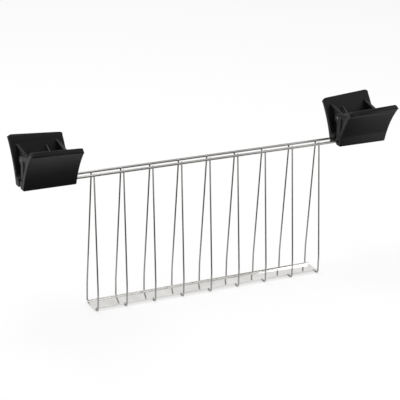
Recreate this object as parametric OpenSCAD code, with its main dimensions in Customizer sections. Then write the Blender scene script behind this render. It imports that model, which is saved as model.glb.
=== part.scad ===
// Sandwich cage for a long-slot toaster. Nine spring-wire hoops hang from two rails and carry
// a sheet-steel crumb tray. A plastic handle at each end works like a clothes peg: squeezing
// its two leaves together swings the rails apart and opens the cage.
// X runs along the rails, +Y is the rear, Z is up from the undersides of the hoops.

/* [Cage] */
// Number of wire hoops along the cage
hoop_count = 9; // [3:1:12]
// Distance between neighbouring hoops
hoop_pitch = 27; // [18:0.5:32]
// Diameter of the hoop wire
hoop_wire_d = 1.4; // [1:0.1:2]
// Width of a hoop between the centres of its upright wires
hoop_w = 24.3; // [20:0.1:32]
// Bend radius at the two lower corners of a hoop, on the wire's centre line
hoop_bend_r = 3; // [2:0.1:5]
// Height at which the upright wires start to lean towards each other
knee_z = 18; // [12:0.5:30]
// Height of the rails' centre lines
rail_z = 122; // [90:0.5:150]
// Distance between the two rails' centre lines with the cage closed
rail_gap = 9.75; // [9.5:0.05:14]
// Diameter of the rail wire
rail_d = 2.2; // [1.8:0.1:3]
// How far the hoop wires reach above the rails' centre lines
hoop_tip = 1; // [0.2:0.1:3]

/* [Crumb tray] */
// Thickness of the tray's sheet
tray_sheet = 0.5; // [0.3:0.1:0.9]
// Height of the tray's turned-up lips, from its underside
tray_lip = 2; // [1.5:0.1:3]
// Outer radius of the bend under each lip
tray_bend_r = 1; // [0.9:0.1:1.4]
// How far the tray reaches past the end hoops
tray_overhang = 1.8; // [1:0.1:6]

/* [Handle leaves] */
// Gap along the rails from the last hoop to a handle
handle_gap = 18; // [10:0.5:30]
// Length of a handle along the rails
handle_len = 47; // [40:0.5:60]
// Height of a leaf's outer face above the rails, at its outer end
leaf_h = 32; // [29:0.5:40]
// How much lower a leaf's top edge lies at its inner end
leaf_drop = 3; // [0:0.1:6]
// Thickness of a leaf's curved wall
leaf_t = 4.6; // [3:0.1:6]
// Lean of a leaf's outer face from upright, at the height of the rails
lean_low = 18; // [12:0.5:24]
// Lean of a leaf's outer face from upright, at its top
lean_top = 42; // [34:0.5:48]
// Radius of a leaf's two upper corners
leaf_corner_r = 3.5; // [1:0.5:8]
// Diameter of the barrel that holds the end of a rail
barrel_d = 8.6; // [7:0.1:9.2]
// Plastic between the barrel and the outer face, at the height of the rails
foot_wall = 1.1; // [0.5:0.1:3]
// Depth of a leaf's flat foot below the rails' centre lines
foot_drop = 4; // [3:0.1:4.2]
// Plastic that closes the rail's bore at the outer end
bore_end_wall = 3; // [1:0.5:5]
// Gap between the end of a rail and the bottom of its bore
rail_end_gap = 0.3; // [0.1:0.1:1]
// Radial clearance of a rail in its bore
rail_fit = 0.08; // [0.02:0.01:0.1]

/* [Ears and pivot] */
// Height of the pivot above the rails' centre lines
pivot_h = 20.3; // [17:0.1:22]
// Diameter of the pivot pin
pin_d = 3; // [2:0.1:4]
// Diameter of the boss round the pin, on every ear
boss_d = 7.2; // [6:0.1:8]
// Thickness of an ear
ear_t = 3; // [2:0.1:4]
// Depth of the front leaf's ears inside the ends of the leaf
ear_inset = 1.2; // [1:0.1:3]
// Height above the rails at which the ears meet the curved wall
ear_top = 28; // [25:0.5:29]
// Height above the rails of the lower edge of the rear leaf's ears
ear_ledge = 12.6; // [8:0.1:14]
// Side play between a front ear and a rear ear
ear_gap = 0.3; // [0.1:0.05:0.6]
// Radial clearance of the pin in the rear leaf's ears
pin_fit = 0.01; // [0.01:0.01:0.03]
// Radial clearance of the pin in the front leaf's ears
pin_play = 0.25; // [0.2:0.05:0.4]
// Depth of the pin's ends inside the outer faces of the front ears
pin_recess = 0.2; // [0.1:0.05:0.6]
// Diameter of the stiffening rib on the outside of a front ear
rib_d = 5.6; // [4:0.1:6]
// Height of the rib's crown over the face of the ear
rib_rise = 0.9; // [0.5:0.1:1]
// Distance of the rib from the middle plane of the cage
rib_y = 7.2; // [6:0.1:7.4]

/* [Springs] */
// Diameter of the spring wire
spring_wire_d = 1; // [0.7:0.1:1.2]
// Radial gap between a spring's coil and the pin
spring_gap = 0.9; // [0.6:0.1:1.5]
// Full turns in each coil
spring_turns = 8; // [4:1:12]
// Distance from one turn of a coil to the next
spring_pitch = 1.7; // [1.6:0.1:2]
// Angle of a spring's arms from upright
arm_lean = 65; // [55:1:70]
// Clearance between a spring's arm and the leaf that it presses on
arm_seat = 0.2; // [0.1:0.05:0.4]

/* [Hidden] */
$fn = 48;
// Facets on the large circles of a leaf's faces, steps in an arc of points, and the length by
// which a cutting shape passes the face that it cuts
flare_fn = 200;
arc_steps = 10;
over = 1;

steel_colour = [0.78, 0.78, 0.76];
tray_colour = [0.86, 0.87, 0.87];
plastic_colour = [0.06, 0.06, 0.06];
spring_colour = [0.62, 0.62, 0.6];

// Cage
hoop_wire_r = hoop_wire_d / 2;
rail_r = rail_d / 2;
rail_y = rail_gap / 2;
knee_y = hoop_w / 2;
hoop_flat = hoop_w - 2 * hoop_bend_r;
weld_gap = 0.01;
leg_top_y = rail_y - rail_r - hoop_wire_r - weld_gap;
leg_run = rail_z + hoop_tip - knee_z;
leg_lean = atan((knee_y - leg_top_y) / leg_run);
leg_len = norm([knee_y - leg_top_y, leg_run]);
// The side walls of the cage swing about the knees, so a fine gap keeps the wires apart there.
knee_gap = 0.1;
tip_round = hoop_wire_r;
cage_half = (hoop_count - 1) * hoop_pitch / 2;

// Tray
tray_z = hoop_wire_d;
tray_len = 2 * (cage_half + tray_overhang);

// Handles
handle_x = cage_half + handle_gap;
barrel_r = barrel_d / 2;
bore_r = rail_r + rail_fit;
bore_len = handle_len - bore_end_wall;
rail_len = 2 * (handle_x + bore_len - rail_end_gap);
foot_y = rail_y + barrel_r + foot_wall;
flare_r = leaf_h / (sin(lean_top) - sin(lean_low));
flare_c = [foot_y + flare_r * cos(lean_low), -flare_r * sin(lean_low)];
wall_r = flare_r + leaf_t;
lean_foot = asin(sin(lean_low) - foot_drop / flare_r);
ear_edge_y = rail_y - barrel_r;
boss_r = boss_d / 2;
pin_r = pin_d / 2;
front_ear_x = ear_inset;
rear_ear_x = ear_inset + ear_t + ear_gap;
pin_len = handle_len - 2 * (ear_inset + pin_recess);
rib_r = rib_d / 2;
// The rib's dome stays a little below the top of the boss.
rib_shoulder = 1;
rib_top = pivot_h + boss_r - rib_r - rib_shoulder;

// Springs
spring_wire_r = spring_wire_d / 2;
coil_r = pin_r + spring_gap + spring_wire_r;
rings_per_turn = 8;
wire_sides = 6;

// Points along an arc round c, from one angle to another
function arc(c, r, from, to) = [for (i = [0:arc_steps])
    let (a = from + (to - from) * i / arc_steps) c + r * [cos(a), sin(a)]];

// A point on a leaf's outer face, in the section across the handle
function flare_point(lean, r) = flare_c + r * [-cos(lean), sin(lean)];

module along_x(x, len) {
    translate([x, 0, 0]) rotate([90, 0, 90]) linear_extrude(len) children();
}

// Section across a rear leaf, with the rails' centre lines at zero height: the curved wall,
// the barrel round the rail and the solid foot between them
module leaf_section() {
    far = wall_r + leaf_h;
    difference() {
        intersection() {
            union() {
                intersection() {
                    translate(flare_c) circle(wall_r, $fn = flare_fn);
                    polygon([flare_c, flare_point(lean_top + over, far), flare_point(lean_foot - over, far)]);
                }
                translate([rail_y, 0]) circle(barrel_r);
                translate([rail_y, -foot_drop]) square([foot_y - rail_y + leaf_t, foot_drop + barrel_r]);
            }
            translate([0, -foot_drop]) square([2 * foot_y + leaf_h, leaf_h + foot_drop + 2 * leaf_t]);
        }
        translate(flare_c) circle(flare_r, $fn = flare_fn);
    }
}

// Section of an ear between the pin's boss and the curved wall. It reaches down to low_z.
module ear_section(low_z, edge_y) {
    wall_y = flare_c[0] - sqrt(pow(wall_r, 2) - pow(ear_top - flare_c[1], 2));
    in_wall = leaf_t / 2;
    difference() {
        union() {
            translate([0, pivot_h]) circle(boss_r);
            polygon([
                [0, pivot_h + boss_r], [wall_y, ear_top], [wall_y + in_wall, ear_top],
                [foot_y + in_wall, low_z], [edge_y, low_z], [edge_y, pivot_h], [0, pivot_h],
            ]);
        }
        translate(flare_c) circle(flare_r + in_wall, $fn = flare_fn);
    }
}

// Outline of a leaf seen square to its top: a sloping top edge with two rounded corners. Its
// origin is the outer face's top edge, at the inner end of the leaf's full length.
module leaf_outline() {
    rise = [leaf_corner_r, -leaf_drop - leaf_corner_r];
    fall = [handle_len - leaf_corner_r, -leaf_corner_r];
    slope = atan2(fall[1] - rise[1], fall[0] - rise[0]);
    depth = 2 * (leaf_h + foot_drop);
    polygon(concat(
        [[0, -depth]], arc(rise, leaf_corner_r, 180, 90 + slope),
        arc(fall, leaf_corner_r, 90 + slope, 0), [[handle_len, -depth]]
    ));
}

module leaf_body() {
    top = flare_point(lean_top, flare_r);
    reach = 2 * leaf_h;
    intersection() {
        along_x(-over, handle_len + 2 * over) leaf_section();
        translate([0, top[0], top[1]]) rotate([90 - lean_top, 0, 0]) translate([0, 0, -reach])
            linear_extrude(2 * reach) leaf_outline();
    }
}

module rail_bore() {
    translate([-over, rail_y, 0]) rotate([0, 90, 0]) cylinder(r = bore_r, h = bore_len + over);
}

module pin_hole(clearance) {
    translate([-over, 0, pivot_h]) rotate([0, 90, 0])
        cylinder(r = pin_r + clearance, h = handle_len + 2 * over);
}

// Rounded upright rib on the outside of a front leaf's ear, with a domed top
module ear_rib() {
    crown = [ear_inset - rib_rise + rib_r, rib_y, 0];
    intersection() {
        translate(crown) union() {
            cylinder(r = rib_r, h = rib_top);
            translate([0, 0, rib_top]) sphere(rib_r);
        }
        translate([0, 0, -foot_drop]) cube([ear_inset + ear_t / 2, foot_y + leaf_h, leaf_h + foot_drop]);
    }
}

// A front leaf, drawn on the rear side and from x = 0: full ears at both ends
module front_leaf_form() {
    difference() {
        union() {
            leaf_body();
            along_x(front_ear_x, ear_t) ear_section(0, ear_edge_y);
            along_x(handle_len - front_ear_x - ear_t, ear_t) ear_section(0, ear_edge_y);
            ear_rib();
            translate([handle_len, 0, 0]) mirror([1, 0, 0]) ear_rib();
        }
        rail_bore();
        pin_hole(pin_play);
    }
}

// A rear leaf from x = 0: short ears that stand between the front leaf's ears
module rear_leaf_form() {
    difference() {
        union() {
            leaf_body();
            along_x(rear_ear_x, ear_t) ear_section(ear_ledge, 0);
            along_x(handle_len - rear_ear_x - ear_t, ear_t) ear_section(ear_ledge, 0);
        }
        rail_bore();
        pin_hole(pin_fit);
    }
}

// Places a handle piece at the right-hand end, or mirrored at the left-hand end
module at_end(left) {
    mirror([left ? 1 : 0, 0, 0]) translate([handle_x, 0, rail_z]) children();
}

module front_leaf(left) {
    color(plastic_colour) at_end(left) mirror([0, 1, 0]) front_leaf_form();
}

module rear_leaf(left) {
    color(plastic_colour) at_end(left) rear_leaf_form();
}

module pivot_pin(left) {
    color(steel_colour) at_end(left) translate([ear_inset + pin_recess, 0, pivot_h])
        rotate([0, 90, 0]) cylinder(r = pin_r, h = pin_len);
}

// Springs. The wire comes down the rear arm, winds round the pin and leaves as the front arm.
// Angles are counted in the section across the handle, from +Y towards +Z.
function on_coil(a) = coil_r * [cos(a), sin(a)];
coil_start = -arm_lean;
coil_end = coil_start - (360 * spring_turns + 2 * (90 - arm_lean));
coil_len = spring_pitch * (coil_start - coil_end) / 360;
coil_x = (handle_len - coil_len) / 2;
arm_dir = [sin(arm_lean), cos(arm_lean)];
// Length of an arm from the coil to its seat on a leaf's inner face
arm_from = on_coil(coil_start) + [0, pivot_h] - flare_c;
arm_reach = wall_r + spring_wire_r + arm_seat;
arm_half = arm_from * arm_dir;
arm_len = -arm_half - sqrt(pow(arm_half, 2) - arm_from * arm_from + pow(arm_reach, 2));
arm_gap = 0.15;

function coil_point(a) = [
    coil_x + spring_pitch * (coil_start - a) / 360, coil_r * cos(a), pivot_h + coil_r * sin(a),
];
coil_steps = round(rings_per_turn * (coil_start - coil_end) / 360);
coil_step = (coil_start - coil_end) / coil_steps;
spring_path = concat(
    [[coil_x, on_coil(coil_start)[0] + arm_len * arm_dir[0],
      pivot_h + on_coil(coil_start)[1] + arm_len * arm_dir[1]]],
    [for (i = [0:coil_steps]) coil_point(coil_start - i * coil_step)]
);

function unit(v) = v / norm(v);
function heading(p, i) = unit(p[min(i + 1, len(p) - 1)] - p[max(i - 1, 0)]);
// A ring of wire round point i of a path. The rings are squared up on the coil's own axis.
function ring(p, i) =
    let (t = heading(p, i), u = unit(cross(t, [1, 0, 0])), v = cross(t, u))
    [for (k = [0:wire_sides - 1])
        p[i] + spring_wire_r * (cos(360 * k / wire_sides) * u + sin(360 * k / wire_sides) * v)];

module wire_along(path) {
    n = len(path);
    points = [for (i = [0:n - 1]) each ring(path, i)];
    faces = concat(
        [for (i = [0:n - 2]) for (k = [0:wire_sides - 1])
            let (a = i * wire_sides + k, b = i * wire_sides + (k + 1) % wire_sides)
            each [[a, a + wire_sides, b], [b, a + wire_sides, b + wire_sides]]],
        [for (k = [1:wire_sides - 2]) [0, k, k + 1]],
        [for (k = [1:wire_sides - 2])
            let (last = (n - 1) * wire_sides) [last, last + k + 1, last + k]]
    );
    polyhedron(points, faces);
}

// Least gap between one turn of a coil and the next, measured on the path's points
turn_gap = min([for (i = [1:coil_steps - rings_per_turn])
    norm(spring_path[i + rings_per_turn] - spring_path[i])]) - spring_wire_d;

module spring(left) {
    echo(least_gap_between_turns = turn_gap);
    color(spring_colour) at_end(left) wire_along(spring_path);
}

module spring_front_arm(left) {
    start = coil_point(coil_end) + arm_gap * [0, -arm_dir[0], arm_dir[1]];
    color(spring_colour) at_end(left) translate(start) rotate([arm_lean, 0, 0])
        cylinder(r = spring_wire_r, h = arm_len - arm_gap);
}

// Cage pieces
module rail(side) {
    color(steel_colour) translate([-rail_len / 2, side * rail_y, rail_z]) rotate([0, 90, 0])
        cylinder(r = rail_r, h = rail_len);
}

// The flat bottom of a hoop, its two bends and the upright wires as far as the knees
module hoop_base(n) {
    color(steel_colour) translate([hoop_x(n), 0, 0]) {
        translate([0, -hoop_flat / 2, hoop_wire_r]) rotate([-90, 0, 0])
            cylinder(r = hoop_wire_r, h = hoop_flat);
        for (side = [0, 1]) mirror([0, side, 0]) {
            translate([0, hoop_flat / 2, hoop_wire_r + hoop_bend_r]) rotate([0, 90, 0])
                rotate_extrude(angle = 90) translate([hoop_bend_r, 0]) circle(hoop_wire_r);
            translate([0, knee_y, hoop_wire_r + hoop_bend_r])
                cylinder(r = hoop_wire_r, h = knee_z - hoop_wire_r - hoop_bend_r);
        }
    }
}

// An upright wire from its knee to its rounded tip, welded to the inside of its rail
module hoop_leg(n, side) {
    color(steel_colour) translate([hoop_x(n), side * knee_y, knee_z])
        rotate([side * leg_lean, 0, 0]) {
            translate([0, 0, knee_gap]) cylinder(r = hoop_wire_r, h = leg_len - tip_round - knee_gap);
            translate([0, 0, leg_len - tip_round]) sphere(hoop_wire_r);
        }
}

function hoop_x(n) = (n - 1) * hoop_pitch - cage_half;

// Section of the tray: flat sheet with two turned-up lips
module tray_section() {
    inner_r = tray_bend_r - tray_sheet;
    for (side = [0, 1]) mirror([side, 0]) {
        square([hoop_flat / 2 - tray_bend_r, tray_sheet]);
        translate([hoop_flat / 2 - tray_bend_r, tray_bend_r]) difference() {
            circle(tray_bend_r);
            circle(inner_r);
            translate([-2 * tray_bend_r, -2 * tray_bend_r]) square([2 * tray_bend_r, 4 * tray_bend_r]);
            translate([-tray_bend_r, 0]) square([3 * tray_bend_r, 2 * tray_bend_r]);
        }
        translate([hoop_flat / 2 - tray_sheet, tray_bend_r]) square([tray_sheet, tray_lip - tray_bend_r]);
    }
}

module crumb_tray() {
    color(tray_colour) translate([0, 0, tray_z]) along_x(-tray_len / 2, tray_len) tray_section();
}

crumb_tray();
for (n = [1:hoop_count]) {
    hoop_base(n);
    hoop_leg(n, -1);
    hoop_leg(n, 1);
}
rail(-1);  // front_rail
rail(1);  // rear_rail
front_leaf(true);  // left_front_leaf
rear_leaf(true);  // left_rear_leaf
front_leaf(false);  // right_front_leaf
rear_leaf(false);  // right_rear_leaf
pivot_pin(true);  // left_pivot_pin
pivot_pin(false);  // right_pivot_pin
spring(true);  // left_spring
spring(false);  // right_spring
spring_front_arm(true);  // left_spring_front_arm
spring_front_arm(false);  // right_spring_front_arm
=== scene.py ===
from math import asin, atan, atan2, cos, hypot, pi, radians, sin, sqrt, tan

import bpy
from mathutils import Matrix, Vector


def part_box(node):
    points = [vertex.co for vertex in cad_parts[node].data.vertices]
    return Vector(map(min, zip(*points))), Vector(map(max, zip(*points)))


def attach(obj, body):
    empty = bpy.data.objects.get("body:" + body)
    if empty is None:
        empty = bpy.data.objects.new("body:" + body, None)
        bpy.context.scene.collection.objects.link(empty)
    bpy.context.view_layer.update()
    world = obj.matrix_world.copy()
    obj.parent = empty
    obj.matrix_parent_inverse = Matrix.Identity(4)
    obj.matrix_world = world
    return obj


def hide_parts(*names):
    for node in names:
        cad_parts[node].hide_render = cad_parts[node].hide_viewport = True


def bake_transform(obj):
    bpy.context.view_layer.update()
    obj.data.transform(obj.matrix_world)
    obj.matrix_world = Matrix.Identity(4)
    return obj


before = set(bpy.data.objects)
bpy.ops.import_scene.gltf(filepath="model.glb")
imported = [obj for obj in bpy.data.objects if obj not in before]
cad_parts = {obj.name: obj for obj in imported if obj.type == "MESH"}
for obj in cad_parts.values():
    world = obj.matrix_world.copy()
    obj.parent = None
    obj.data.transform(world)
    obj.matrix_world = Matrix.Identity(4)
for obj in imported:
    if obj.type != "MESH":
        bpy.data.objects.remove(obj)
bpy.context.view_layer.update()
bpy.ops.object.select_all(action="DESELECT")
MM = 0.001

# Camera. The photograph looks down on the cage from in front of its left end, through a long
# lens, so the rails climb to the right and both handles keep nearly the same size.
azimuth, elevation, roll = radians(-26.55), radians(20.47), radians(1.33)
aim = Vector((-11.4, -8.7, 87.5)) * MM
distance = 1485 * MM

bpy.ops.object.camera_add()
camera = bpy.context.object
camera.name = "photo_camera"
turn = Matrix.Rotation(azimuth, 4, "Z") @ Matrix.Rotation(pi / 2 - elevation, 4, "X")
camera.matrix_world = (
    Matrix.Translation(aim) @ turn @ Matrix.Rotation(roll, 4, "Z")
    @ Matrix.Translation((0, 0, distance))
)
camera.data.sensor_width = 36
camera.data.lens = 154.95
camera.data.clip_end = 60
bpy.context.scene.camera = camera
bpy.context.scene.view_settings.view_transform = "Standard"


# Studio. A pale floor that runs out to a white surround, one wide softbox overhead, a smaller
# one at the right, and a black cloth in front that only the gloss of metal and plastic sees.
def node(tree, kind, **values):
    """A new node. Each value goes to the socket or setting of that name."""
    made = tree.nodes.new(kind)
    for name, value in values.items():
        if name in made.inputs:
            made.inputs[name].default_value = value
        else:
            setattr(made, name, value)
    return made


def seen_directly(tree):
    """1 for the rays of the camera, of reflections and of transmission, and else 0"""
    path = node(tree, "ShaderNodeLightPath")
    either = node(tree, "ShaderNodeMath", operation="MAXIMUM")
    any_of_three = node(tree, "ShaderNodeMath", operation="MAXIMUM")
    tree.links.new(path.outputs["Is Camera Ray"], either.inputs[0])
    tree.links.new(path.outputs["Is Glossy Ray"], either.inputs[1])
    tree.links.new(either.outputs[0], any_of_three.inputs[0])
    tree.links.new(path.outputs["Is Transmission Ray"], any_of_three.inputs[1])
    return any_of_three.outputs[0]


floor_half = 8.0
floor_drop = 0.2 * MM
shadow_share = 0.3

bpy.ops.mesh.primitive_plane_add(size=2 * floor_half, location=(0, 0, -floor_drop))
floor = bpy.context.object
floor.name = "studio_floor"
paper = bpy.data.materials.new("studio_paper")
paper.use_nodes = True
tree = paper.node_tree
tree.nodes.clear()
shaded = node(tree, "ShaderNodeBsdfDiffuse", Color=(0.9, 0.9, 0.9, 1))
glow = node(tree, "ShaderNodeEmission", Color=(1, 1, 1, 1), Strength=1.0)
share = node(tree, "ShaderNodeMath", operation="MULTIPLY")
share.inputs[1].default_value = 1 - shadow_share
tree.links.new(seen_directly(tree), share.inputs[0])
mix = node(tree, "ShaderNodeMixShader")
tree.links.new(share.outputs[0], mix.inputs[0])
tree.links.new(shaded.outputs[0], mix.inputs[1])
tree.links.new(glow.outputs[0], mix.inputs[2])
out = node(tree, "ShaderNodeOutputMaterial")
tree.links.new(mix.outputs[0], out.inputs["Surface"])
floor.data.materials.append(paper)

world = bpy.data.worlds.new("studio_surround")
bpy.context.scene.world = world
world.use_nodes = True
tree = world.node_tree
tree.nodes.clear()
fill = node(tree, "ShaderNodeBackground", Color=(1, 1, 1, 1), Strength=0.55)
white = node(tree, "ShaderNodeBackground", Color=(1, 1, 1, 1), Strength=1.0)
mix = node(tree, "ShaderNodeMixShader")
tree.links.new(seen_directly(tree), mix.inputs[0])
tree.links.new(fill.outputs[0], mix.inputs[1])
tree.links.new(white.outputs[0], mix.inputs[2])
out = node(tree, "ShaderNodeOutputWorld")
tree.links.new(mix.outputs[0], out.inputs["Surface"])


def softbox(name, place, size, power):
    """A square softbox that faces the cage"""
    bpy.ops.object.light_add(type="AREA", location=place)
    lamp = bpy.context.object
    lamp.name = name
    lamp.data.size = size
    lamp.data.energy = power
    lamp.rotation_euler = (aim - Vector(place)).to_track_quat("-Z", "Y").to_euler()


softbox("softbox_overhead", (-0.3, 0.35, 1.5), 1.1, 15)
softbox("softbox_right", (1.3, -0.5, 0.9), 0.7, 5)


def black_cloth(name, centre, width, depth):
    """A cloth that only reflections see, so it casts no shadow and stays out of the picture"""
    bpy.ops.mesh.primitive_plane_add(size=1, location=centre)
    cloth = bpy.context.object
    cloth.name = name
    cloth.scale = (width, depth, 1)
    cloth.visible_camera = False
    cloth.visible_diffuse = False
    cloth.visible_shadow = False
    cloth.visible_transmission = False
    black = bpy.data.materials.new(name)
    black.use_nodes = True
    black.node_tree.nodes["Principled BSDF"].inputs["Base Color"].default_value = (
        0.02, 0.02, 0.02, 1,
    )
    black.node_tree.nodes["Principled BSDF"].inputs["Roughness"].default_value = 1
    cloth.data.materials.append(black)


black_cloth("cloth_in_front", (-0.55, -1.3, 0.001), 1.5, 2.5)


# Hoops. Each is one length of bright spring wire: a flat bottom under the tray, two tight bends
# and two legs that lean in to the rails. Each half springs at its knee, and its wire is drawn there
# in short lengths.
wire_r = 0.7 * MM
hoop_count = 9
hoop_bend_r = 3 * MM
hoop_half = 12.15 * MM
knee_z = 18 * MM
knee_bend_r = 60 * MM
leg_top_y = 3.065 * MM
leg_top_z = 123 * MM
spring_from, spring_to = 10 * MM, 30 * MM
wire_sides = 16
# Points this close to a plane count as lying on it, and points this close together are one
near, same = 0.01 * MM, 0.002 * MM


def steel(name, colour, roughness, grain, along):
    """Drawn or rolled steel: fine lines along one axis, in its tone, gloss and surface"""
    made = bpy.data.materials.new(name)
    made.use_nodes = True
    tree = made.node_tree
    shader = tree.nodes["Principled BSDF"]
    shader.inputs["Metallic"].default_value = 1
    place = node(tree, "ShaderNodeTexCoord")
    stretch = node(tree, "ShaderNodeMapping", Scale=[0.04 if a == along else 1 for a in "XYZ"])
    tree.links.new(place.outputs["Object"], stretch.inputs["Vector"])
    lines = node(tree, "ShaderNodeTexNoise", Scale=grain, Detail=4.0, Roughness=0.6)
    tree.links.new(stretch.outputs[0], lines.inputs["Vector"])
    cloud = node(tree, "ShaderNodeTexNoise", Scale=60.0, Detail=2.0)
    tree.links.new(place.outputs["Object"], cloud.inputs["Vector"])
    tone = node(tree, "ShaderNodeValToRGB")
    tone.color_ramp.elements[0].position = 0.3
    tone.color_ramp.elements[0].color = [0.88 * c for c in colour] + [1]
    tone.color_ramp.elements[1].position = 0.7
    tone.color_ramp.elements[1].color = [min(1, 1.06 * c) for c in colour] + [1]
    tree.links.new(cloud.outputs["Fac"], tone.inputs["Fac"])
    tree.links.new(tone.outputs["Color"], shader.inputs["Base Color"])
    gloss = node(tree, "ShaderNodeMapRange")
    gloss.inputs["To Min"].default_value = 0.75 * roughness
    gloss.inputs["To Max"].default_value = 1.25 * roughness
    tree.links.new(lines.outputs["Fac"], gloss.inputs["Value"])
    tree.links.new(gloss.outputs["Result"], shader.inputs["Roughness"])
    relief = node(tree, "ShaderNodeBump", Strength=0.12, Distance=0.02 * MM)
    tree.links.new(lines.outputs["Fac"], relief.inputs["Height"])
    tree.links.new(relief.outputs["Normal"], shader.inputs["Normal"])
    return made


def edit(piece, wanted=None):
    """Edit mode with all of a piece selected, or only its points that pass a test"""
    bpy.ops.object.mode_set(mode="OBJECT")
    bpy.context.view_layer.objects.active = piece
    bpy.context.tool_settings.mesh_select_mode = (True, False, False)
    bpy.ops.object.mode_set(mode="EDIT")
    if wanted is None:
        bpy.ops.mesh.select_all(action="SELECT")
        return
    bpy.ops.mesh.select_all(action="DESELECT")
    bpy.ops.object.mode_set(mode="OBJECT")
    for point in piece.data.vertices:
        point.select = wanted(point.co)
    bpy.ops.object.mode_set(mode="EDIT")


def pull(step, times=1):
    """Extrudes what is selected along a step, several times over"""
    for _ in range(times):
        bpy.ops.mesh.extrude_region_move(TRANSFORM_OT_translate={"value": step})


def close_end(rounding):
    """Fills the selected ring and rounds the rim"""
    bpy.ops.mesh.edge_face_add()
    if rounding:
        bpy.ops.mesh.bevel(offset=rounding, segments=3, affect="EDGES")


def finish_piece(piece, name, material, angle=35):
    """Names a piece, gives it its material, points its faces outwards and smooths them"""
    edit(piece)
    bpy.ops.mesh.remove_doubles(threshold=same)
    bpy.ops.mesh.select_all(action="SELECT")
    bpy.ops.mesh.normals_make_consistent(inside=False)
    bpy.ops.object.mode_set(mode="OBJECT")
    bpy.ops.object.select_all(action="DESELECT")
    piece.select_set(True)
    bpy.ops.object.transform_apply(location=True, rotation=True, scale=True)
    bpy.ops.object.shade_smooth_by_angle(angle=radians(angle))
    piece.name = name
    piece.data.materials.clear()
    piece.data.materials.append(material)
    piece.select_set(False)
    return piece


def copy_piece(piece, name, move):
    """A copy with its own mesh, moved or mirrored by a matrix"""
    made = piece.copy()
    made.data = piece.data.copy()
    made.name = name
    bpy.context.scene.collection.objects.link(made)
    made.data.transform(move)
    if move.determinant() < 0:
        made.data.flip_normals()
    return made


bright_wire = steel("bright_wire", (0.33, 0.325, 0.315), 0.26, 3500.0, "Z")
leg_lean = atan((hoop_half - leg_top_y) / (leg_top_z - knee_z))
leg_way = Vector((0, -sin(leg_lean), cos(leg_lean)))
knee_start = knee_z - knee_bend_r * tan(leg_lean / 2)
leg_len = hypot(hoop_half - leg_top_y, leg_top_z - knee_z) - knee_bend_r * tan(leg_lean / 2)
bend_top = wire_r + hoop_bend_r
spring_steps = 4
spring_rise = (spring_to - knee_z) / spring_steps

bpy.ops.mesh.primitive_circle_add(
    vertices=wire_sides, radius=wire_r, location=(0, 0, wire_r), rotation=(pi / 2, 0, 0)
)
half_hoop = bpy.context.object
bpy.ops.object.transform_apply(location=True, rotation=True, scale=True)
edit(half_hoop)
pull((0, hoop_half - hoop_bend_r, 0))
bpy.ops.mesh.spin(
    steps=8, angle=pi / 2, center=(0, hoop_half - hoop_bend_r, bend_top), axis=(-1, 0, 0)
)
pull((0, 0, (knee_start - bend_top) / spring_steps), spring_steps)
bpy.ops.mesh.spin(
    steps=4, angle=leg_lean, center=(0, hoop_half - knee_bend_r, knee_start), axis=(-1, 0, 0)
)
pull(leg_way * spring_rise, spring_steps)
pull(leg_way * (leg_len - spring_steps * spring_rise) / 2, 2)
close_end(0.45 * wire_r)
edit(half_hoop, lambda p: abs(p.y) < near)
close_end(0)
rear_half = finish_piece(half_hoop, "hoop_half", bright_wire)

mirror_y = Matrix.Scale(-1, 4, (0, 1, 0))
mirror_x = Matrix.Scale(-1, 4, (1, 0, 0))
for n in range(1, hoop_count + 1):
    low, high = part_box(f"hoop_{n}_base")
    station = Matrix.Translation(((low.x + high.x) / 2, 0, 0))
    for side, way, facing in (("rear", 1, Matrix.Identity(4)), ("front", -1, mirror_y)):
        wire = copy_piece(rear_half, f"hoop_{n}_{side}_wire", station @ facing)
        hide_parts(f"hoop_{n}_base", f"hoop_{n}_{side}_leg")
        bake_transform(wire)
bpy.data.objects.remove(rear_half)

# Rails. Two straight rods of the same bright steel, a little thicker than the hoops. Their ends
# are pushed into the barrels of the handles, and each hoop leg is spot welded to their inside.
rail_r = 1.1 * MM
rail_y = 4.875 * MM
rail_z = 122 * MM
weld_half = Vector((1.0, 0.5, 1.25)) * MM
rail_steel = steel("rail_steel", (0.36, 0.352, 0.34), 0.24, 3500.0, "X")

for side, way in (("front", -1), ("rear", 1)):
    low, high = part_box(f"{side}_rail")
    bpy.ops.mesh.primitive_circle_add(
        vertices=24, radius=rail_r, location=(low.x, way * rail_y, rail_z), rotation=(0, pi / 2, 0)
    )
    rail = bpy.context.object
    bpy.ops.object.transform_apply(location=True, rotation=True, scale=True)
    edit(rail)
    close_end(0)
    pull((high.x - low.x, 0, 0))
    for end in (low.x, high.x):
        edit(rail, lambda p: abs(p.x - end) < near)
        bpy.ops.mesh.bevel(offset=0.3 * rail_r, segments=3, affect="EDGES")
    finish_piece(rail, f"{side}_rail_rod", rail_steel)
    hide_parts(f"{side}_rail")
    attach(rail, f"{side}_side")

    welds = []
    for n in range(1, hoop_count + 1):
        low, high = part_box(f"hoop_{n}_base")
        bpy.ops.mesh.primitive_ico_sphere_add(
            subdivisions=2, radius=1,
            location=((low.x + high.x) / 2, way * (rail_y - rail_r), rail_z - 0.1 * MM),
        )
        weld = bpy.context.object
        weld.scale = weld_half
        bpy.ops.object.transform_apply(location=True, rotation=False, scale=True)
        edit(weld)
        bpy.ops.transform.vertex_random(offset=0.06 * MM, seed=n)
        bpy.ops.mesh.vertices_smooth(factor=0.4)
        bpy.ops.object.mode_set(mode="OBJECT")
        welds.append(weld)
    bpy.ops.object.select_all(action="DESELECT")
    for weld in welds:
        weld.select_set(True)
    bpy.context.view_layer.objects.active = welds[0]
    bpy.ops.object.join()
    weld = finish_piece(welds[0], f"{side}_rail_welds", rail_steel, 80)
    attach(weld, f"{side}_side")

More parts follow.
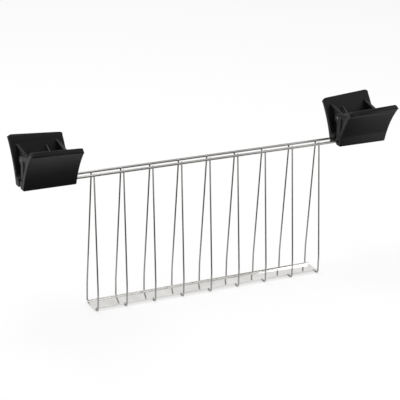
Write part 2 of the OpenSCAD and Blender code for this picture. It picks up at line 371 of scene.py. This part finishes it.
# Crumb tray. A long strip of polished stainless sheet with two turned-up lips, laid in the
# hoops' flat bottoms and spot welded to each. Its face is nearly a mirror.
low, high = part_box("crumb_tray")
sheet = 0.5 * MM
lip_bend_r = 0.75 * MM
mid = Vector((high.x, high.y - sheet / 2, low.z + sheet / 2))
tray_metal = steel("tray_sheet", (0.70, 0.69, 0.675), 0.09, 900.0, "X")

bpy.ops.mesh.primitive_plane_add(size=2, location=(0, 0, mid.z))
tray = bpy.context.object
tray.scale = (mid.x, mid.y - lip_bend_r, 1)
bpy.ops.object.transform_apply(location=True, rotation=True, scale=True)
for way in (1, -1):
    edit(tray, lambda p: way * p.y > mid.y - lip_bend_r - near and p.z < mid.z + near)
    bpy.ops.mesh.spin(
        steps=5, angle=way * pi / 2, axis=(-1, 0, 0),
        center=(0, way * (mid.y - lip_bend_r), mid.z + lip_bend_r),
    )
    pull((0, 0, high.z - mid.z - lip_bend_r))
bpy.ops.object.mode_set(mode="OBJECT")
wall = tray.modifiers.new("sheet", "SOLIDIFY")
wall.thickness = sheet
wall.offset = 0
rim = tray.modifiers.new("deburred", "BEVEL")
rim.width = 0.08 * MM
rim.segments = 2
rim.angle_limit = radians(60)
for modifier in ("sheet", "deburred"):
    bpy.ops.object.modifier_apply(modifier=modifier)
finish_piece(tray, "crumb_tray_sheet", tray_metal)
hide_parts("crumb_tray")
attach(tray, "base")

# Handle leaves. Each is one moulding in black heat-proof plastic: a flared finger plate, a
# barrel that takes the end of a rail, and two ears that carry the pivot pin.
handle_x, handle_len = 126 * MM, 47 * MM
leaf_h, leaf_drop, leaf_t = 32 * MM, 3 * MM, 4.6 * MM
lean_low, lean_top = radians(18), radians(42)
corner_r = 3.5 * MM
barrel_r = 4.3 * MM
foot_y, foot_drop = 10.275 * MM, 4 * MM
edge_r = 0.9 * MM
pivot_h, boss_r = 20.3 * MM, 3.6 * MM
ear_t, ear_inset, ear_gap = 3 * MM, 1.2 * MM, 0.3 * MM
ear_top, ear_ledge = 28 * MM, 12.6 * MM
ear_edge_r = 0.4 * MM
rib_r, rib_y, rib_rise = 2.8 * MM, 7.2 * MM, 0.9 * MM
rail_bore_r, rail_bore_len = 1.18 * MM, 44 * MM
pin_r, pin_play, pin_fit = 1.5 * MM, 0.25 * MM, 0.01 * MM

flare_r = leaf_h / (sin(lean_top) - sin(lean_low))
flare_y = foot_y + flare_r * cos(lean_low)
flare_z = rail_z - flare_r * sin(lean_low)
pivot_z = rail_z + pivot_h


def plastic():
    """Satin black moulding: fine spark-eroded grain, and a little wear of the gloss"""
    made = bpy.data.materials.new("black_plastic")
    made.use_nodes = True
    tree = made.node_tree
    shader = tree.nodes["Principled BSDF"]
    place = node(tree, "ShaderNodeTexCoord")
    grain = node(tree, "ShaderNodeTexNoise", Scale=2600.0, Detail=3.0, Roughness=0.55)
    rub = node(tree, "ShaderNodeTexNoise", Scale=45.0, Detail=4.0, Roughness=0.6)
    for texture in (grain, rub):
        tree.links.new(place.outputs["Object"], texture.inputs["Vector"])
    tone = node(tree, "ShaderNodeValToRGB")
    tone.color_ramp.elements[0].position = 0.3
    tone.color_ramp.elements[0].color = (0.0028, 0.0027, 0.0026, 1)
    tone.color_ramp.elements[1].position = 0.7
    tone.color_ramp.elements[1].color = (0.0046, 0.0044, 0.0042, 1)
    tree.links.new(rub.outputs["Fac"], tone.inputs["Fac"])
    tree.links.new(tone.outputs["Color"], shader.inputs["Base Color"])
    gloss = node(tree, "ShaderNodeMapRange")
    gloss.inputs["To Min"].default_value = 0.36
    gloss.inputs["To Max"].default_value = 0.5
    tree.links.new(rub.outputs["Fac"], gloss.inputs["Value"])
    tree.links.new(gloss.outputs["Result"], shader.inputs["Roughness"])
    shader.inputs["Specular IOR Level"].default_value = 0.13
    relief = node(tree, "ShaderNodeBump", Strength=0.25, Distance=0.03 * MM)
    tree.links.new(grain.outputs["Fac"], relief.inputs["Height"])
    tree.links.new(relief.outputs["Normal"], shader.inputs["Normal"])
    return made


def first_point(place):
    """A new mesh of one point, from which an outline is drawn"""
    bpy.ops.mesh.primitive_plane_add(size=MM, location=(0, 0, 0))
    piece = bpy.context.object
    edit(piece)
    bpy.ops.mesh.merge(type="CENTER")
    bpy.ops.transform.translate(value=place)
    return piece


def draw_arc(y, z, angle, steps):
    """Carries the outline on round an axis along X, from +Y towards +Z"""
    bpy.ops.mesh.spin(steps=steps, angle=angle, center=(0, y, z), axis=(-1, 0, 0))


def fill_and_pull(piece, length):
    """Fills an outline and pulls it out along X"""
    edit(piece)
    bpy.ops.mesh.remove_doubles(threshold=same / 2)
    bpy.ops.mesh.select_all(action="SELECT")
    bpy.ops.mesh.edge_face_add()
    bpy.ops.mesh.extrude_region_move(TRANSFORM_OT_translate={"value": (length, 0, 0)})
    bpy.ops.mesh.select_all(action="SELECT")
    bpy.ops.mesh.normals_make_consistent(inside=False)


def round_sharp_edges(piece, radius, segments):
    """Rounds every edge that is sharper than a moulding's"""
    edit(piece)
    bpy.ops.mesh.select_all(action="DESELECT")
    bpy.context.tool_settings.mesh_select_mode = (False, True, False)
    bpy.ops.mesh.edges_select_sharp(sharpness=radians(35))
    bpy.ops.mesh.bevel(offset=radius, segments=segments, affect="EDGES")
    bpy.ops.object.mode_set(mode="OBJECT")


def combine(piece, other, operation):
    """Joins another solid to a piece, or cuts it out, and removes it"""
    tool = piece.modifiers.new(operation, "BOOLEAN")
    tool.operation = operation
    tool.solver = "EXACT"
    tool.object = other
    bpy.context.view_layer.objects.active = piece
    bpy.ops.object.modifier_apply(modifier=tool.name)
    bpy.data.objects.remove(other)


# The plate and barrel, drawn round their section at the right-hand rear and pulled along X
lean_foot = asin(sin(lean_low) - foot_drop / flare_r)
wall_r = flare_r + leaf_t
sweep = lean_top + radians(3) - lean_foot
top_lean = lean_foot + sweep
gap_y, gap_z = flare_y - rail_y, flare_z - rail_z
span = hypot(gap_y, gap_z)
reach = (barrel_r**2 - wall_r**2 + span**2) / (2 * span)
meet_angle = atan2(gap_z, gap_y) + atan2(sqrt(barrel_r**2 - reach**2), reach)
meet_y, meet_z = rail_y + barrel_r * cos(meet_angle), rail_z + barrel_r * sin(meet_angle)
meet_lean = asin((meet_z - flare_z) / wall_r)
barrel_end = pi + asin(foot_drop / barrel_r)

leaf = first_point((
    handle_x, flare_y - flare_r * cos(lean_foot), flare_z + flare_r * sin(lean_foot)
))
draw_arc(flare_y, flare_z, -sweep, 20)
pull((0, -leaf_t * cos(top_lean), leaf_t * sin(top_lean)))
draw_arc(flare_y, flare_z, top_lean - meet_lean, 18)
draw_arc(rail_y, rail_z, barrel_end - meet_angle, 14)
fill_and_pull(leaf, handle_len)
slope = atan2(leaf_drop, handle_len - 2 * corner_r)
corner_y = flare_y - flare_r * cos(lean_top)
corner_z = flare_z + flare_r * sin(lean_top)
drop_at_end = corner_r * (1 - cos(slope))
top_plane = Vector((-sin(slope), cos(slope) * sin(lean_top), cos(slope) * cos(lean_top)))
top_point = Vector((
    handle_x + handle_len - corner_r * (1 + sin(slope)),
    corner_y - drop_at_end * sin(lean_top), corner_z - drop_at_end * cos(lean_top),
))
edit(leaf)
bpy.ops.mesh.bisect(plane_co=top_point, plane_no=top_plane, use_fill=True, clear_outer=True)
for end in (handle_x, handle_x + handle_len):
    edit(leaf, lambda p: abs(p.x - end) < near and (p - top_point).dot(top_plane) > -0.02 * MM)
    bpy.ops.mesh.bevel(offset=corner_r, segments=6, affect="EDGES")
round_sharp_edges(leaf, edge_r, 3)


def wall_middle(z):
    """Y of the middle of the finger plate's wall at a height above the rails"""
    return flare_y - sqrt((flare_r + leaf_t / 2) ** 2 - (rail_z + z - flare_z) ** 2)


def add_ear(piece, x, low, edge_y):
    """Joins an ear to a leaf: a web from the wall to a round boss about the pivot"""
    ear = first_point((x, 0, pivot_z + boss_r))
    draw_arc(0, pivot_z, pi, 16)
    pull((0, edge_y, low - pivot_h + boss_r))
    pull((0, wall_middle(low) - edge_y, 0))
    pull((0, wall_middle(ear_top) - wall_middle(low), ear_top - low))
    pull((0, -leaf_t / 2, 0))
    fill_and_pull(ear, ear_t)
    round_sharp_edges(ear, ear_edge_r, 2)
    combine(piece, ear, "UNION")


def add_rib(piece, x, way):
    """Joins an upright round-topped rib to the outside of an ear"""
    rib_top = pivot_h + boss_r - rib_r - MM
    centre_x = x + way * (rib_r - rib_rise)
    bpy.ops.mesh.primitive_uv_sphere_add(
        segments=24, ring_count=14, radius=rib_r, location=(centre_x, rib_y, rail_z)
    )
    rib = bpy.context.object
    bpy.ops.object.transform_apply(location=True, rotation=True, scale=True)
    edit(rib, lambda p: p.z > rail_z - near)
    bpy.ops.transform.translate(value=(0, 0, rib_top))
    edit(rib)
    bpy.ops.mesh.bisect(
        plane_co=(x + way * ear_t / 2, 0, 0), plane_no=(way, 0, 0),
        use_fill=True, clear_outer=True,
    )
    bpy.ops.object.mode_set(mode="OBJECT")
    combine(piece, rib, "UNION")


def drill(piece, y, z, radius, start, length):
    """Cuts a round hole along X"""
    bpy.ops.mesh.primitive_cylinder_add(
        vertices=32, radius=radius, depth=length, rotation=(0, pi / 2, 0),
        location=(start + length / 2, y, z),
    )
    bit = bpy.context.object
    bpy.ops.object.transform_apply(location=True, rotation=True, scale=True)
    combine(piece, bit, "DIFFERENCE")


black_plastic = plastic()
outer_end = handle_x + handle_len
front_leaf = copy_piece(leaf, "front_leaf", Matrix.Identity(4))
for x, way in ((handle_x + ear_inset, 1), (outer_end - ear_inset, -1)):
    add_ear(front_leaf, min(x, x + way * ear_t), 0, rail_y - barrel_r)
    add_rib(front_leaf, x, way)
rear_leaf = leaf
for x in (handle_x + ear_inset + ear_t + ear_gap, outer_end - ear_inset - 2 * ear_t - ear_gap):
    add_ear(rear_leaf, x, ear_ledge, 0)
for piece, clearance in ((front_leaf, pin_play), (rear_leaf, pin_fit)):
    drill(piece, rail_y, rail_z, rail_bore_r, handle_x - MM, rail_bore_len + MM)
    drill(piece, 0, pivot_z, pin_r + clearance, handle_x - MM, handle_len + 2 * MM)
    finish_piece(piece, "leaf_form", black_plastic, 30)
    even = piece.modifiers.new("even", "WEIGHTED_NORMAL")
    even.keep_sharp = True
    bpy.context.view_layer.objects.active = piece
    bpy.ops.object.modifier_apply(modifier=even.name)

for end, facing in (("right", Matrix.Identity(4)), ("left", mirror_x)):
    for side, form, turned in (("front", front_leaf, mirror_y), ("rear", rear_leaf, None)):
        move = facing @ turned if turned else facing
        moulding = copy_piece(form, f"{end}_{side}_handle_leaf", move)
        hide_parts(f"{end}_{side}_leaf")
        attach(moulding, f"{end}_{side}_handle")
for form in (front_leaf, rear_leaf):
    bpy.data.objects.remove(form)

# Pivot pins. Each is a plain pin of blackened steel, pushed through the rear leaf's ears and
# loose in the front leaf's, with both ends eased.
pin_steel = steel("pin_steel", (0.16, 0.157, 0.15), 0.3, 2500.0, "X")

for end in ("left", "right"):
    low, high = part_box(f"{end}_pivot_pin")
    bpy.ops.mesh.primitive_circle_add(
        vertices=32, radius=pin_r, location=(low.x, 0, pivot_z), rotation=(0, pi / 2, 0)
    )
    pin = bpy.context.object
    bpy.ops.object.transform_apply(location=True, rotation=True, scale=True)
    edit(pin)
    close_end(0)
    pull((high.x - low.x, 0, 0))
    for x in (low.x, high.x):
        edit(pin, lambda p: abs(p.x - x) < near)
        bpy.ops.mesh.bevel(offset=0.4 * MM, segments=3, affect="EDGES")
    finish_piece(pin, f"{end}_pin_rod", pin_steel)
    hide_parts(f"{end}_pivot_pin")
    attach(pin, f"{end}_rear_handle")

# Springs. A torsion spring of eight turns of oil-blackened wire sits round each pin between the
# ears, and its straight arms press the leaves apart. The front arm turns with the front leaf.
spring_wire_r = 0.5 * MM
ring_reach = 1.1 * spring_wire_r
coil_r = 2.9 * MM
spring_turns, spring_pitch = 8, 1.7 * MM
arm_lean = radians(65)
arm_seat = 0.2 * MM
overlap = radians(42)
coil_turn = 2 * pi * spring_turns + 2 * (pi / 2 - arm_lean)
coil_len = spring_pitch * coil_turn / (2 * pi)
coil_x = handle_x + (handle_len - coil_len) / 2
coil_steel = steel("spring_wire", (0.05, 0.048, 0.045), 0.36, 2500.0, "X")


def wind(x, start, angle, steps_per_turn=24):
    """A length of coiled wire about the X axis, open at both ends"""
    bpy.ops.mesh.primitive_circle_add(
        vertices=12, radius=spring_wire_r, location=(x, coil_r, 0)
    )
    coil = bpy.context.object
    bpy.ops.object.transform_apply(location=True, rotation=True, scale=True)
    coil.data.transform(Matrix.Rotation(start, 4, "X"))
    twist = coil.modifiers.new("coil", "SCREW")
    twist.axis = "X"
    twist.angle = -angle
    twist.screw_offset = -spring_pitch * angle / (2 * pi)
    twist.steps = twist.render_steps = round(steps_per_turn * angle / (2 * pi))
    bpy.ops.object.modifier_apply(modifier=twist.name)
    return coil


def add_arm(coil, x, angle, way, length):
    """Draws the wire on from the coil as a straight arm, and rounds its end"""
    start = Vector((x, coil_r * cos(angle), coil_r * sin(angle)))
    edit(coil, lambda p: (p - start).length < ring_reach)
    pull(way * length)
    close_end(0.4 * spring_wire_r)


rear_way = Vector((0, sin(arm_lean), cos(arm_lean)))
front_way = Vector((0, -sin(arm_lean), cos(arm_lean)))
start_y, start_z = coil_r * cos(arm_lean), pivot_z - coil_r * sin(arm_lean)
from_flare = Vector((0, start_y - flare_y, start_z - flare_z))
half_way = from_flare.dot(rear_way)
arm_reach = wall_r + spring_wire_r + arm_seat
arm_len = -half_way - sqrt(half_way**2 - from_flare.length_squared + arm_reach**2)

main_coil = wind(coil_x, -arm_lean, coil_turn)
add_arm(main_coil, coil_x, -arm_lean, rear_way, arm_len)
coil_end = Vector((coil_x + coil_len, -start_y, start_z - pivot_z))
edit(main_coil, lambda p: (p - coil_end).length < ring_reach)
close_end(0)
bpy.ops.object.mode_set(mode="OBJECT")
front_end_angle = -arm_lean - coil_turn
overlap_x = coil_x + coil_len - spring_pitch * overlap / (2 * pi)
front_arm = wind(overlap_x, front_end_angle + overlap, overlap)
add_arm(front_arm, coil_x + coil_len, front_end_angle, front_way, arm_len)
for wire in (main_coil, front_arm):
    wire.data.transform(Matrix.Translation((0, 0, pivot_z)))
    finish_piece(wire, "spring_form", coil_steel, 60)

for end, facing in (("right", Matrix.Identity(4)), ("left", mirror_x)):
    for form, name, stands_for, side in (
        (main_coil, "coil", "spring", "rear"), (front_arm, "front_arm", "spring_front_arm", "front")
    ):
        wire = copy_piece(form, f"{end}_spring_{name}", facing)
        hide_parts(f"{end}_{stands_for}")
        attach(wire, f"{end}_{side}_handle")
for form in (main_coil, front_arm):
    bpy.data.objects.remove(form)
